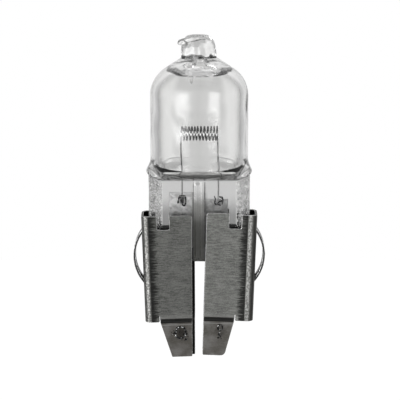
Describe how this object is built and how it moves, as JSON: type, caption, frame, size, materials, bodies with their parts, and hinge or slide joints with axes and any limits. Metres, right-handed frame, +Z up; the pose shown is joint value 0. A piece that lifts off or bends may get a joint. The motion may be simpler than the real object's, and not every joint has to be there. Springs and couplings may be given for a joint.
{
  "type": "halogen headlight bulb",
  "caption": "Clear quartz halogen capsule bulb with a transverse coil, a flat pinch seal, sealing foils and folded sheet contact clips with bowed side springs and welded tabs.",
  "frame": {"origin": "on the bulb's axis at the feet of the contact tabs, where the lampholder's seat is", "axes": "+Z up the bulb's axis towards the exhaust tip, +X across the two clips towards the right clip, -Y towards the front flanges"},
  "size_m": [0.0176, 0.013, 0.0438],
  "materials": {
    "quartz": "clear fused quartz, fire polished, rougher and wavy where it was pinched",
    "tungsten_wire": "drawn tungsten wire, darkened, faint die lines",
    "molybdenum_foil": "thin etched molybdenum foil, matt, sealed in quartz",
    "weld_metal": "ragged dark weld splash",
    "lead_wire": "drawn molybdenum wire, slightly oxidised",
    "clip_steel": "plated sheet steel, fine cross scratches, grain at the folds, heat tint at the welded tabs",
    "spring_steel": "spring strip, darker than the clips, bright cut edges"
  },
  "bodies": {
    "lamp": {"quartz_envelope": "quartz", "exhaust_tip": "quartz", "filament": "tungsten_wire", "foil_left": "molybdenum_foil", "foil_right": "molybdenum_foil", "weld_tab_left": "weld_metal", "weld_tab_right": "weld_metal", "outer_lead_left": "lead_wire", "outer_lead_right": "lead_wire", "clip_left": "clip_steel", "clip_right": "clip_steel"},
    "left_spring": {"contact_spring_left": "spring_steel"},
    "right_spring": {"contact_spring_right": "spring_steel"}
  },
  "joints": [
    {"name": "left_spring_press", "type": "slide", "parent": "lamp", "child": "left_spring", "axis": [0.9995, 0, 0.0332], "range_m": [0, 0.0005], "stiffness_N_per_m": 8000},
    {"name": "right_spring_press", "type": "slide", "parent": "lamp", "child": "right_spring", "axis": [-0.9994, 0, 0.0349], "range_m": [0, 0.0005], "stiffness_N_per_m": 8000}
  ]
}
